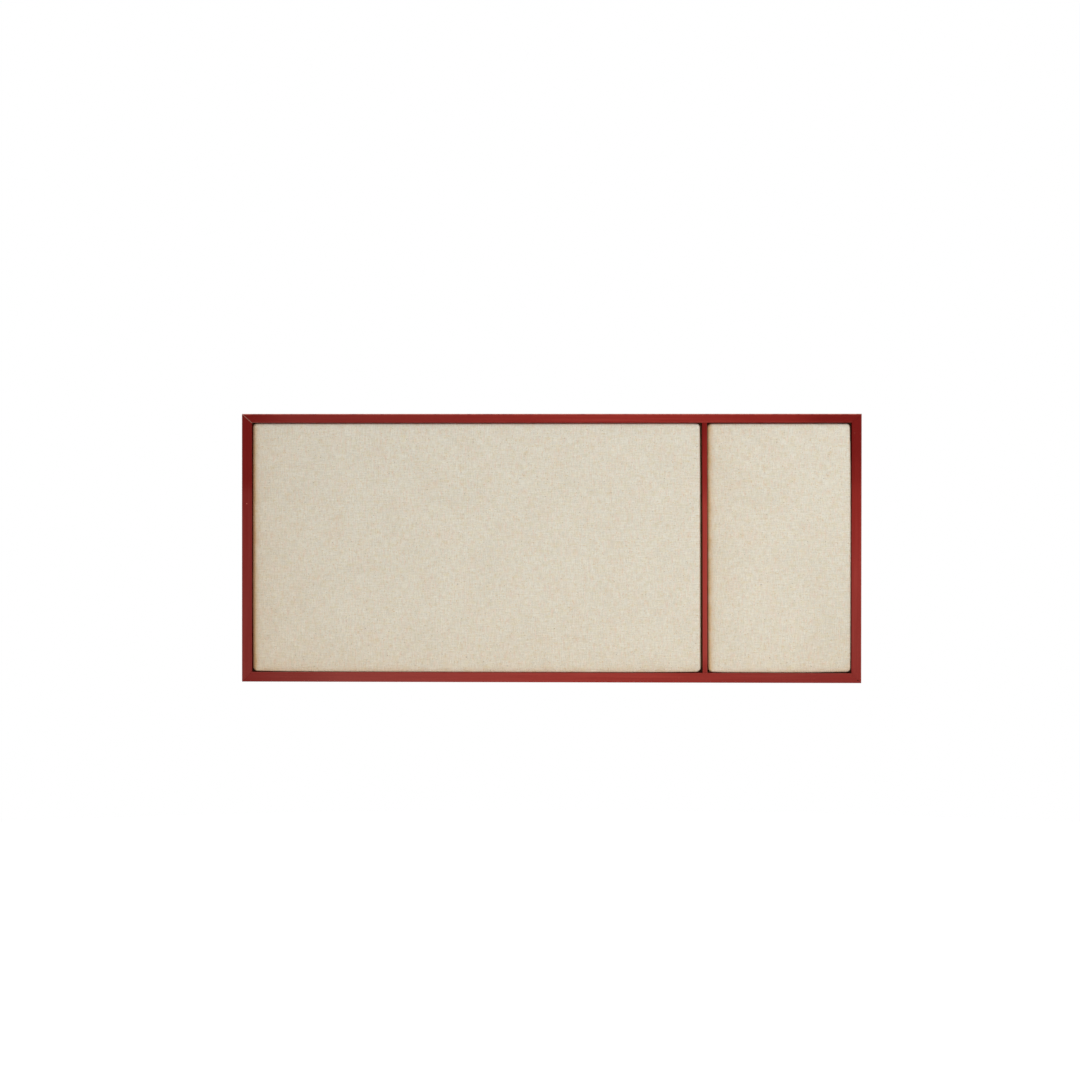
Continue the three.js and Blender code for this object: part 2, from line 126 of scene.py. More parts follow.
class Nodes:  # a node tree, and the few nodes that every finish here uses
    def __init__(self, tree):
        self.tree = tree

    def plug(self, socket, value):
        if isinstance(value, Wire):
            self.tree.links.new(value.socket, socket)
        else:
            socket.default_value = value

    def node(self, kind, settings=None, inputs=None, out=0):
        made = self.tree.nodes.new("ShaderNode" + kind)
        for key, value in (settings or {}).items():
            if key == "stops":
                elements = made.color_ramp.elements
                made.color_ramp.interpolation = "EASE"
                while len(elements) < len(value):
                    elements.new(1.0)
                for element, (position, colour) in zip(elements, value):
                    element.position = position
                    element.color = colour
            else:
                setattr(made, key, value)
        for key, value in (inputs or {}).items():
            self.plug(made.inputs[key], value)
        return Wire(self, made.outputs[out]) if made.outputs else None

    def place(self):
        return self.node("TexCoord", out="Object")

    def split(self, vector):
        parts = self.node("SeparateXYZ", None, {"Vector": vector})
        return [Wire(self, output) for output in parts.socket.node.outputs]

    def stretch(self, vector, scale):
        return self.node("Mapping", None, {"Vector": vector, "Scale": scale})

    def grain(self, vector, scale, detail=2.0, roughness=0.5):
        inputs = {"Vector": vector, "Scale": scale, "Detail": detail, "Roughness": roughness}
        return self.node("TexNoise", None, inputs)

    def ramp(self, share, stops):
        return self.node("ValToRGB", {"stops": stops}, {"Fac": share})

    def blend(self, share, first, second, kind="MIX"):
        settings = {"data_type": "RGBA", "blend_type": kind}
        return self.node("Mix", settings, {0: share, 6: first, 7: second}, out=2)

    def near(self, place, point, radius):  # 1 at a point, 0 outside the radius
        away = self.node("VectorMath", {"operation": "DISTANCE"}, {0: place, 1: point}, out="Value")
        return 1 - away.rise(radius * 0.5, radius)

    def painted(self, name):
        return self.node("Attribute", {"attribute_name": name}, out="Fac")

    def seen(self):  # 1 for what the eye sees, straight or in metal or glass
        rays = self.node("LightPath", out="Is Camera Ray")
        for name in ("Is Glossy Ray", "Is Transmission Ray"):
            rays = rays.most(self.node("LightPath", out=name))
        return rays

    def dents(self, height, distance, strength):
        inputs = {"Height": height, "Distance": distance, "Strength": strength}
        return self.node("Bump", None, inputs)


class Finish(Nodes):  # a material with one principled shader
    def __init__(self, name, constants):
        self.material = bpy.data.materials.new(name)
        self.material.use_nodes = True
        super().__init__(self.material.node_tree)
        self.shader = self.tree.nodes["Principled BSDF"]
        self.feed(constants)

    def feed(self, sockets):
        for socket, value in sockets.items():
            self.plug(self.shader.inputs[socket], value)


def stirred(level, grains, shares):  # each noise moves the level up and down by its share
    for key, share in shares.items():
        level = level + (grains[key] - 0.5) * share
    return level


# Red lacquer on the frame and the divider
topLow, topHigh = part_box("frame_top_rail")
frontY, backY = topLow.y, topHigh.y
lacquerLook = {
    "deep": (0.158, 0.0052, 0.0036, 1.0),
    "middle": (0.235, 0.0150, 0.0110, 1.0),
    "brick": (0.350, 0.0390, 0.0300, 1.0),
    "sheenedRed": (0.255, 0.0480, 0.0405, 1.0),  # a paler red, painted sheen where the lacquer shows it most
    "sheenedSpan": (-0.2, 1.2),
    "wornAndLit": linear(196, 112, 96), "paleMitre": linear(214, 168, 150), "pinHole": linear(30, 12, 10),
    "roughness": 0.40, "roughnessSpread": 0.2,
    "constants": {"Specular IOR Level": 0.08},
    "streakLength": 9.0,  # noise cycles per metre along the grain
    "streakWidth": 620.0,  # and across it
    "streak": (1.0, 3.0, 0.6),  # scale, detail and roughness of the noise
    "broad": (0.3, 2.0), "cloud": (7.0, 3.0), "scuff": (90.0, 3.0), "nick": (240.0, 1.0),
    "shares": {"streak": 0.5, "broad": 0.35, "cloud": 0.2},  # in the tone
    "unsheenedAcross": (-0.65, 0.2),  # from painted sheen to none
    "unsheenedUp": (-0.3, 0.3), "unsheenedShares": (0.8, 0.2),
    "sheenCornerAcross": (0.25, 0.5),  # more painted sheen towards the lower right corner
    "sheenCornerUp": (-0.2, 0.1), "sheenCornerShare": 0.35,
    "rubAndLightWidth": (0.78 * mm, 2.6 * mm),  # full wear and painted highlight, and none
    "rubAndLightDepth": (0.5 * mm, 2.5 * mm),
    "scuffSpan": (0.3, 0.6), "scuffLeast": 0.35,
    "nickSpan": (0.8, 0.82), "nickShare": 0.4, "paleMitreShare": 0.6,
    "broadRelief": 0.6, "grainDepth": 0.12 * mm,
}


def lacquerFinish(name, upright, tone, rubbedAndLit, marks=()):
    look = lacquerLook
    finish = Finish(name, look["constants"])
    place = finish.place()
    x, y, z = finish.split(place)
    along, across = (z, x) if upright else (x, z)
    long, wide = look["streakLength"], look["streakWidth"]
    streaked = finish.stretch(place, (wide, wide, long) if upright else (long, wide, wide))
    streak = finish.grain(streaked, *look["streak"])
    broad = finish.grain(streaked, *look["broad"])
    grains = {"streak": streak, "broad": broad, "cloud": finish.grain(place, *look["cloud"])}
    start, end = tone[0][0], tone[-1][0]
    reach = {"Value": along, "From Min": start, "From Max": end}
    walked = finish.node("MapRange", None, reach)
    stops = [((at - start) / (end - start), (share, share, share, 1.0)) for at, share in tone]
    share = stirred(finish.ramp(walked, stops), grains, look["shares"])
    stops = [(0.0, look["deep"]), (0.5, look["middle"]), (1.0, look["brick"])]
    unsheened = finish.ramp(share, stops)
    # the paler red is painted sheen, towards the left, the foot and the lower right corner
    sheened = finish.blend(share.rise(*look["sheenedSpan"]), look["deep"], look["sheenedRed"])
    byAcross, byUp = look["unsheenedShares"]
    kept = x.rise(*look["unsheenedAcross"]) * byAcross + z.rise(*look["unsheenedUp"]) * byUp
    paintedLight = x.rise(*look["sheenCornerAcross"]) * (1 - z.rise(*look["sheenCornerUp"])) * look["sheenCornerShare"]
    colour = finish.blend(kept - paintedLight, sheened, unsheened)
    # rubbed corners are partly wear and partly painted highlights where they catch the light
    scuff = finish.grain(place, *look["scuff"]).rise(*look["scuffSpan"])
    rubAndLight = 1 - (y - frontY).rise(*look["rubAndLightDepth"])
    rubAndLight = rubAndLight * (look["scuffLeast"] + scuff * (1 - look["scuffLeast"]))
    wornAndLit = [(1 - (across - at).size().rise(*look["rubAndLightWidth"])) * much for at, much in rubbedAndLit]
    rubAndLight = rubAndLight * (wornAndLit[0].most(wornAndLit[1]) if len(wornAndLit) > 1 else wornAndLit[0])
    nick = finish.grain(place, *look["nick"]).rise(*look["nickSpan"]) * look["nickShare"]
    colour = finish.blend(rubAndLight.most(nick), colour, look["wornAndLit"])
    # a paler line painted along the open mitres
    colour = finish.blend(finish.painted("mitre") * look["paleMitreShare"], colour, look["paleMitre"])
    for point, radius, kind in marks:
        colour = finish.blend(finish.near(place, point, radius), colour, look[kind])
    spread = look["roughnessSpread"]
    finish.feed({
        "Base Color": colour,
        "Roughness": look["roughness"] + (streak - 0.5) * spread + rubAndLight * spread,
        "Normal": finish.dents(streak + broad * look["broadRelief"], look["grainDepth"], 0.5),
    })
    return finish.material


# Natural linen, on the cloth's own flat coordinates in millimetres
linenLook = {
    "pale": linear(238, 235, 223), "shade": linear(200, 195, 181), "paleSpan": (-0.25, 1.25),
    "base": 0.5,  # between shade and pale
    "stain": (0.77, 0.55, 0.34, 1.0),  # what painted shade and warm bounce light take from its colour
    "rose": linear(224, 190, 170), "straw": linear(209, 193, 130),
    "slub": linear(204, 168, 106), "slubShare": 0.56,
    "acrossSpan": (0.655, 0.725), "upwardSpan": (0.66, 0.73),
    "speck": linear(110, 90, 70), "speckShare": 0.6, "speckSpan": (0.705, 0.775),
    "shadeAcross": (20, 90),  # painted shade, towards the lower right corner
    "shadeDown": (-80, 80),
    "yarn": 0.9,  # from thread to thread
    "weave": 0.5,
    "relief": {"warp": 0.6, "weft": 0.7, "knots": 0.5},
    "reliefDepth": 0.2 * mm,
    "roughness": 0.9, "roughnessSpread": 0.1,
    "constants": {"Specular IOR Level": 0.1, "Sheen Weight": 0.06, "Sheen Roughness": 0.6},
    "uneven": {"warp": 0.96, "weft": 0.84, "knots": 0.8, "mottle": 0.26},
    "tints": {  # the noise, where it begins to show, and how much
        "rose": [("rosy", 0.5, 1.3), ("blush", 0.5, 0.5)],
        "straw": [("strawy", 0.5, 0.8), ("cloud", 0.45, 0.5)],
    },
    "noises": {  # cycles per millimetre across and up, place, and detail and roughness
        "warp": (0.52, 0.06, 0.0, 2.0, 0.6), "weft": (0.055, 0.52, 7.0, 2.0, 0.6),
        "knots": (0.4, 0.36, 13.0, 2.0, 0.6), "mottle": (0.014, 0.014, 43.0),
        "cloud": (0.075, 0.08, 23.0), "rosy": (0.22, 0.06, 29.0),
        "strawy": (0.06, 0.22, 37.0), "blush": (0.024, 0.02, 53.0),
        "across": (0.16, 0.6, 19.0, 1.0), "upward": (0.6, 0.16, 31.0, 1.0),
        "specks": (0.3, 0.36, 59.0, 1.0),
    },
}


def linenFinish(name, lowRightShade):
    look = linenLook
    finish = Finish(name, look["constants"])
    cloth = finish.node("UVMap", {"uv_map": "cloth"})
    u, v, _ = finish.split(finish.stretch(cloth, (1 / mm, 1 / mm, 1)))
    grains = {}
    for key, (wide, high, spot, *details) in look["noises"].items():
        inputs = {"X": u * wide, "Y": v * high, "Z": spot}
        grains[key] = finish.grain(finish.node("CombineXYZ", None, inputs), 1.0, *details)
    level = stirred(look["base"], grains, look["uneven"])
    # painted shade towards the lower right corner
    level = level - u.rise(*look["shadeAcross"]) * (0.0 - v).rise(*look["shadeDown"]) * lowRightShade
    colour = finish.blend(level.rise(*look["paleSpan"]), look["shade"], look["pale"])
    for tint, parts in look["tints"].items():
        first, second = [(grains[key] - least).most(0.0) * much for key, least, much in parts]
        colour = finish.blend(first + second, colour, look[tint])
    slubs = grains["across"].rise(*look["acrossSpan"])
    slubs = slubs.most(grains["upward"].rise(*look["upwardSpan"]))
    colour = finish.blend(slubs * look["slubShare"], colour, look["slub"])
    specks = grains["specks"].rise(*look["speckSpan"])
    colour = finish.blend(specks * look["speckShare"], colour, look["speck"])
    # painted shade and warm light at the edges and the lower left
    colour = finish.blend(finish.painted("stain"), colour, look["stain"], "MULTIPLY")
    turn = 2 * math.pi / look["yarn"]
    weave = (u * turn).wave() * (v * turn).wave() * look["weave"]
    height = stirred(weave, grains, look["relief"])
    finish.feed({
        "Base Color": colour,
        "Roughness": look["roughness"] + (grains["warp"] - 0.5) * look["roughnessSpread"],
        "Normal": finish.dents(height, look["reliefDepth"], 0.5),
    })
    return finish.material


# Finishes of the hidden pieces and the hardware; noises have scale, detail and roughness
mottledLooks = {
    "hardboard": {
        "colours": (linear(112, 76, 48), linear(172, 130, 92)),
        "span": (-0.1, 1.1), "tone": {"cloud": 0.7, "fibre": 0.8, "shred": 0.5, "screen": 0.16},
        "noises": {
            "cloud": ((9, 9, 9), 4.0, 0.6), "fibre": ((900, 300, 500), 3.0, 0.6),
            "shred": ((160, 90, 300), 2.0),
        },
        "screen": 3900, "screenSpan": (-0.6, 0.6),  # print of the press screen
        "roughness": (0.66, {"fibre": 0.3}), "relief": {"fibre": 0.6, "shred": 0.4, "screen": 0.5},
        "dents": (0.18 * mm, 0.7),  # depth and strength
        "constants": {"Specular IOR Level": 0.3},
    },
    "softboard": {
        "colours": (linear(140, 112, 78), linear(196, 170, 130)),
        "span": (0.2, 0.8), "tone": {"fibre": 0.7, "cloud": 0.3},
        "noises": {"fibre": ((380, 380, 380), 4.0, 0.7), "cloud": ((20, 20, 20), 3.0)},
        "roughness": (0.95, {}), "relief": {"fibre": 1.0},
        "dents": (0.6 * mm, 0.8), "constants": {"Specular IOR Level": 0.1},
    },
    "wadding": {
        "colours": (linear(216, 213, 205), linear(246, 245, 240)),
        "span": (0.2, 0.8), "tone": {"fluff": 0.6, "cloud": 0.4},
        "noises": {"fluff": ((260, 260, 260), 5.0, 0.7), "cloud": ((25, 25, 25), 3.0)},
        "roughness": (1.0, {}), "relief": {"fluff": 1.0},
        "dents": (0.8 * mm, 0.7), "constants": {"Specular IOR Level": 0.1, "Sheen Weight": 0.2},
    },
    "birchPly": {
        "colours": (linear(196, 160, 110), linear(226, 200, 158)),
        "span": (0.3, 0.7), "tone": {"layer": 1.0},
        "noises": {"layer": ((60, 1400, 60), 2.0)},
        "roughness": (0.75, {}), "relief": {"layer": 1.0},
        "dents": (0.1 * mm, 0.5), "constants": {"Specular IOR Level": 0.3},
    },
    "zincSteel": {
        "colours": (linear(150, 151, 150), linear(208, 207, 200)),
        "span": (0.15, 0.85), "tone": {"spangle": 0.3, "scuff": 0.4, "bloom": 0.3},
        "noises": {"scuff": ((1500, 1500, 1500), 3.0, 0.6), "bloom": ((260, 260, 260), 3.0)},
        "spangle": 900.0, "hazeSpan": (0.5, 0.7),
        "roughness": (0.44, {"scuff": 0.2, "haze": 0.16}), "relief": {"scuff": 1.0},
        "dents": (0.04 * mm, 0.5), "constants": {"Metallic": 1.0},
    },
    "darkRubber": {
        "colours": (linear(36, 33, 32), linear(70, 64, 59)),
        "span": (0.35, 0.75), "tone": {"dust": 1.0},
        "noises": {"pores": ((2200, 2200, 2200), 3.0, 0.6), "dust": ((160, 160, 160), 3.0)},
        "roughness": (0.68, {"pores": 0.3}), "relief": {"pores": 1.0},
        "dents": (0.08 * mm, 0.6), "constants": {"Specular IOR Level": 0.35},
    },
}


def mottledFinish(name):
    look = mottledLooks[name]
    finish = Finish(name, look["constants"])
    place = finish.place()
    grains = {}
    for key, (scale, *details) in look["noises"].items():
        grains[key] = finish.grain(finish.stretch(place, scale), 1.0, *details)
    if "screen" in look:
        x, _, z = [axis * look["screen"] for axis in finish.split(place)]
        grains["screen"] = (x.wave() * z.wave()).rise(*look["screenSpan"])
    if "spangle" in look:
        inputs = {"Vector": place, "Scale": look["spangle"]}
        cells = finish.node("TexVoronoi", None, inputs, out="Color")
        grains["spangle"] = finish.node("RGBToBW", None, {"Color": cells})
        grains["haze"] = grains["bloom"].rise(*look["hazeSpan"])
    tone = stirred(0.5, grains, look["tone"]).rise(*look["span"])
    finish.feed({
        "Base Color": finish.blend(tone, *look["colours"]),
        "Roughness": stirred(look["roughness"][0], grains, look["roughness"][1]),
        "Normal": finish.dents(stirred(0.5, grains, look["relief"]), *look["dents"]),
    })
    return finish.material


finishes = {name: mottledFinish(name) for name in mottledLooks}
zincSteel = finishes["zincSteel"]
print("finishes made")


# Pieces
def addObject(name, bm, material):
    mesh = bpy.data.meshes.new(name)
    bm.to_mesh(mesh)
    bm.free()
    mesh.materials.append(material)
    made = bpy.data.objects.new(name, mesh)
    scene.collection.objects.link(made)
    return made


def addPiece(name, bm, material, node):
    piece = addObject(name, bm, material)
    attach(piece, body_of(frame["nodes"][node])[0])
    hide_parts(node)
    return piece


def smooth(piece, angle=40.0):  # crisp only where it turns sharply
    piece.data.shade_smooth()
    piece.data.set_sharp_from_angle(angle=math.radians(angle))
    modifier = piece.modifiers.new("faces", "WEIGHTED_NORMAL")
    modifier.keep_sharp = True
    modifier.weight = 80


def thicken(piece, name, thickness, offset):
    piece.data.shade_smooth()
    modifier = piece.modifiers.new(name, "SOLIDIFY")
    modifier.thickness, modifier.offset = thickness, offset


def vertsOf(made):
    return [part for part in made if isinstance(part, bmesh.types.BMVert)]


def edgesOf(made):
    return [part for part in made if isinstance(part, bmesh.types.BMEdge)]


def drawLoop(bm, points):
    ring = [bm.verts.new(point) for point in points]
    return [bm.edges.new(pair) for pair in zip(ring, ring[1:] + ring[:1])]


def drawOut(bm, edges, move, steps=1):  # extrude in steps, and give back the far end
    for _ in range(steps):
        made = ops.extrude_edge_only(bm, edges=edges)["geom"]
        verts = vertsOf(made)
        edges = [edge for edge in edgesOf(made) if all(vert in verts for vert in edge.verts)]
        ops.translate(bm, verts=verts, vec=Vector(move) / steps)
    return edges


def bendRound(bm, edges, centre, axis, degrees, steps):  # the same, but round an axis
    geom = edges + list({vert for edge in edges for vert in edge.verts})
    angle = math.radians(degrees)
    made = ops.spin(bm, geom=geom, cent=centre, axis=axis, angle=angle, steps=steps)
    return edgesOf(made["geom_last"])


def faceOut(bm):
    ops.recalc_face_normals(bm, faces=bm.faces[:])


def spinRound(profile, steps):  # a shape turned about Y, from (radius, height) pairs
    bm = bmesh.new()
    line = [bm.verts.new((radius, height, 0)) for radius, height in profile]
    edges = [bm.edges.new(pair) for pair in zip(line, line[1:])]
    full = {"angle": 2 * math.pi, "steps": steps, "use_merge": True}
    ops.spin(bm, geom=line + edges, cent=(0, 0, 0), axis=(0, 1, 0), **full)
    ops.remove_doubles(bm, verts=bm.verts[:], dist=tiny)
    faceOut(bm)
    return bm


def closeEnds(bm):
    ops.holes_fill(bm, edges=bm.edges[:], sides=0)
    faceOut(bm)


def bevel(bm, geom, offset, segments, affect="EDGES"):
    rounded = {"affect": affect, "segments": segments, "profile": 0.5, "material": -1}
    ops.bevel(bm, geom=geom, offset=offset, **rounded)


def setDown(bm, origin, turn=Matrix.Identity(4)):  # turn a shape and put it in its place
    ops.transform(bm, matrix=Matrix.Translation(origin) @ turn, verts=bm.verts[:])


def lengthwise(bm):  # edges along a bar, not across it
    return [edge for edge in bm.edges if abs(edge.verts[0].co.z - edge.verts[1].co.z) > 1 * mm]


def arrisShare(away, reach):  # 1 on a rounded corner, 0 beside it
    return max(0.0, 1 - max(0.0, away - 0.5 * reach) / (0.9 * reach))


# Frame members
bottomLow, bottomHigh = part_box("frame_bottom_rail")
leftLow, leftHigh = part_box("frame_left_stile")
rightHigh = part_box("frame_right_stile")[1]
topFace, bottomFace = topHigh.z - topLow.z, bottomHigh.z - bottomLow.z
stileFace = leftHigh.x - leftLow.x
boardWidth, boardHeight = rightHigh.x - leftLow.x, topHigh.z - bottomLow.z
midX, midZ = (leftLow.x + rightHigh.x) / 2, (topHigh.z + bottomLow.z) / 2
frameBars = {
    "arris": 1.0 * mm, "backArris": 0.8 * mm, "rebate": 6 * mm,
    "shelfGap": 0.1 * mm,  # between the rebate and the back board
    "mitreGap": 0.12 * mm,
    "tightMitre": 0.22 * mm,  # how far the edges of a mitre are eased
    "openMitre": 0.8 * mm,
    "paleMitreDepth": 2 * mm, "paleMitreEdge": 1.5,  # of the paler line in an open mitre
    "steps": 26,
    "stray": 0.12 * mm, "strayScale": (80, 80, 22),  # how far the sanded corners wander
    "top_rail": {
        "tone": [  # place along the bar, and 0 deep to 1 brick
            (-0.6, 0.0), (-0.5, 0.4), (-0.3, 0.46), (-0.1, 0.62),
            (0.15, 0.73), (0.3, 0.6), (0.42, 0.5), (0.55, 0.1),
        ],
        "rubbedAndLit": [(topHigh.z, 0.85), (topLow.z, 0.1)],  # corners, and how worn and lit: painted highlights on both, with some wear
    },
    "bottom_rail": {
        "tone": [
            (-0.6, 0.3), (-0.5, 0.6), (-0.38, 0.95), (-0.2, 0.9),
            (0.05, 0.82), (0.25, 0.68), (0.42, 0.66), (0.6, 0.48),
        ],
        # its inner corner: a painted highlight, with some wear
        "rubbedAndLit": [(bottomHigh.z, 0.12)],
        "marks": [((0.5935, frontY, -0.2547), 1.6 * mm, "pinHole")],  # place, radius and look
    },
    "left_stile": {
        "tone": [(-0.26, 0.46), (-0.05, 0.4), (0.1, 0.34), (0.135, 0.04), (0.26, 0.0)],
        "rubbedAndLit": [(leftLow.x, 0.1)],
        "marks": [((-0.5905, frontY, 0.086), 1.2 * mm, "wornAndLit")],
    },
    "right_stile": {
        "tone": [
            (-0.26, 0.54), (-0.167, 0.62), (-0.058, 0.76), (0.03, 0.62),
            (0.09, 0.54), (0.15, 0.18), (0.2, 0.0), (0.26, 0.0),
        ],
        # its outer corner: a painted highlight, with some wear
        "rubbedAndLit": [(rightHigh.x, 0.2)],
    },
}
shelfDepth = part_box("back_board")[0].y - frameBars["shelfGap"] - frontY


def mitredBar(name, face, length, ends, across, along, origin):
    bars = frameBars
    depth = backY - frontY
    land = face - bars["rebate"]
    section = [(0, 0), (face, 0), (face, shelfDepth), (land, shelfDepth), (land, depth), (0, depth)]
    bm = bmesh.new()
    edges = drawLoop(bm, [(u, v, -length / 2) for u, v in section])
    drawOut(bm, edges, (0, 0, length), bars["steps"])
    closeEnds(bm)
    for vert in bm.verts:
        for side, (other, _) in zip((-1, 1), ends):
            if abs(side * vert.co.z - length / 2) < tiny:
                gap = bars["mitreGap"] / 2 * math.hypot(face, other) / face
                vert.co.z -= side * (vert.co.x * other / face + gap)
                break
    runs = lengthwise(bm)

    def run(u, v):
        return [edge for edge in runs
                if all(math.hypot(vert.co.x - u, vert.co.y - v) < tiny for vert in edge.verts)]

    front, back = run(0, 0) + run(face, 0), run(0, depth)
    bevel(bm, front, bars["arris"], 4)
    bevel(bm, [edge for edge in back if edge.is_valid], bars["backArris"], 3)
    for side, (_, ease) in zip((-1, 1), ends):
        tips = [part for part in bm.faces if len(part.verts) > 8]  # no other face has so many
        tip = max(tips, key=lambda part: side * part.calc_center_median().z)
        bevel(bm, tip.edges[:], ease, 2)
    filled = bm.verts.layers.float.new("mitre")
    wide, deep, long = bars["strayScale"]
    for vert in bm.verts:
        u, v, w = vert.co
        corner = arrisShare(min(math.hypot(u, v), math.hypot(face - u, v)), bars["arris"])
        for side, (other, ease) in zip((-1, 1), ends):
            inside = length / 2 - side * w - u * other / face
            inside *= face / math.hypot(face, other)
            if ease == bars["openMitre"] and v < bars["paleMitreDepth"]:
                share = bars["paleMitreEdge"] * (1 - inside / ease)
                vert[filled] = max(vert[filled], min(1.0, max(0.0, share)))
        wander = max(0.0, noise.noise(Vector((u * wide, v * deep, w * long + length))))
        inward = Vector((1 if u < face / 2 else -1, 1, 0)).normalized()
        vert.co += inward * wander * bars["stray"] * corner
    setDown(bm, origin, Matrix((across, (0, 1, 0), along)).transposed().to_4x4())
    title = name.title().replace("_", "")
    lacquer = lacquerFinish("lacquer" + title, along[2] != 0, **bars[name])
    smooth(addPiece(name, bm, lacquer, "frame_" + name))


tight, loose = frameBars["tightMitre"], frameBars["openMitre"]
mitredBar("top_rail", topFace, boardWidth, [(stileFace, loose), (stileFace, tight)],
          (0, 0, -1), (1, 0, 0), (midX, frontY, topHigh.z))
mitredBar("bottom_rail", bottomFace, boardWidth, [(stileFace, tight), (stileFace, tight)],
          (0, 0, 1), (-1, 0, 0), (midX, frontY, bottomLow.z))
mitredBar("left_stile", stileFace, boardHeight, [(bottomFace, tight), (topFace, loose)],
          (1, 0, 0), (0, 0, 1), (leftLow.x, frontY, midZ))
mitredBar("right_stile", stileFace, boardHeight, [(topFace, tight), (bottomFace, tight)],
          (-1, 0, 0), (0, 0, -1), (rightHigh.x, frontY, midZ))
print("frame members made")

# Divider
dividerBar = {
    "arris": 0.9 * mm,
    "tenonThickness": 5 * mm, "tenonWidth": 10 * mm, "tenonLength": 7.4 * mm,
    "tenonMiddle": 10.4 * mm,  # behind the front of the frame
    "lean": 0.6 * mm, "taper": 0.8 * mm,
    "slim": 0.6 * mm,  # planed off its right side
    "wornAndLit": 0.16,  # its right corner
    "steps": 18,
    "tone": [
        (-0.24, 0.55), (-0.2, 0.92), (-0.085, 1.0), (0.07, 0.84),
        (0.15, 0.55), (0.2, 0.33), (0.24, 0.1),
    ],
}


def makeDivider():
    bar = dividerBar
    low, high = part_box("divider_bar")
    middle, size = (low + high) / 2, high - low
    foot, head = low.z + bar["tenonLength"], high.z - bar["tenonLength"]
    section = ((low.x, low.y), (high.x, low.y), (high.x, high.y), (low.x, high.y))
    bm = bmesh.new()
    edges = drawLoop(bm, [(x, y, foot) for x, y in section])
    drawOut(bm, edges, (0, 0, head - foot), bar["steps"])
    closeEnds(bm)
    front = [edge for edge in lengthwise(bm)
             if all(abs(vert.co.y - low.y) < tiny for vert in edge.verts)]
    bevel(bm, front, bar["arris"], 4)
    share = Vector((bar["tenonThickness"] / size.x, bar["tenonWidth"] / size.y, 1))
    space = Matrix.Translation((-middle.x, -frontY - bar["tenonMiddle"], 0))
    for side in (-1, 1):
        shoulder = max(bm.faces, key=lambda part: side * part.calc_center_median().z)
        tenon = ops.extrude_discrete_faces(bm, faces=[shoulder])["faces"][0]
        ops.scale(bm, vec=share, verts=tenon.verts[:], space=space)
        tenon = ops.extrude_discrete_faces(bm, faces=[tenon])["faces"][0]
        ops.translate(bm, verts=tenon.verts[:], vec=(0, 0, side * bar["tenonLength"]))
    for vert in bm.verts:
        fall = (high.z - vert.co.z) / size.z
        planed = bar["taper"] * min(1.0, 2 * fall) if vert.co.x < middle.x else -bar["slim"]
        vert.co.x += bar["lean"] * (2 * fall - 1) + planed
    lacquer = lacquerFinish("lacquerDivider", True, bar["tone"], [(high.x, bar["wornAndLit"])])
    smooth(addPiece("divider", bm, lacquer, "divider_bar"))


makeDivider()
print("divider made")

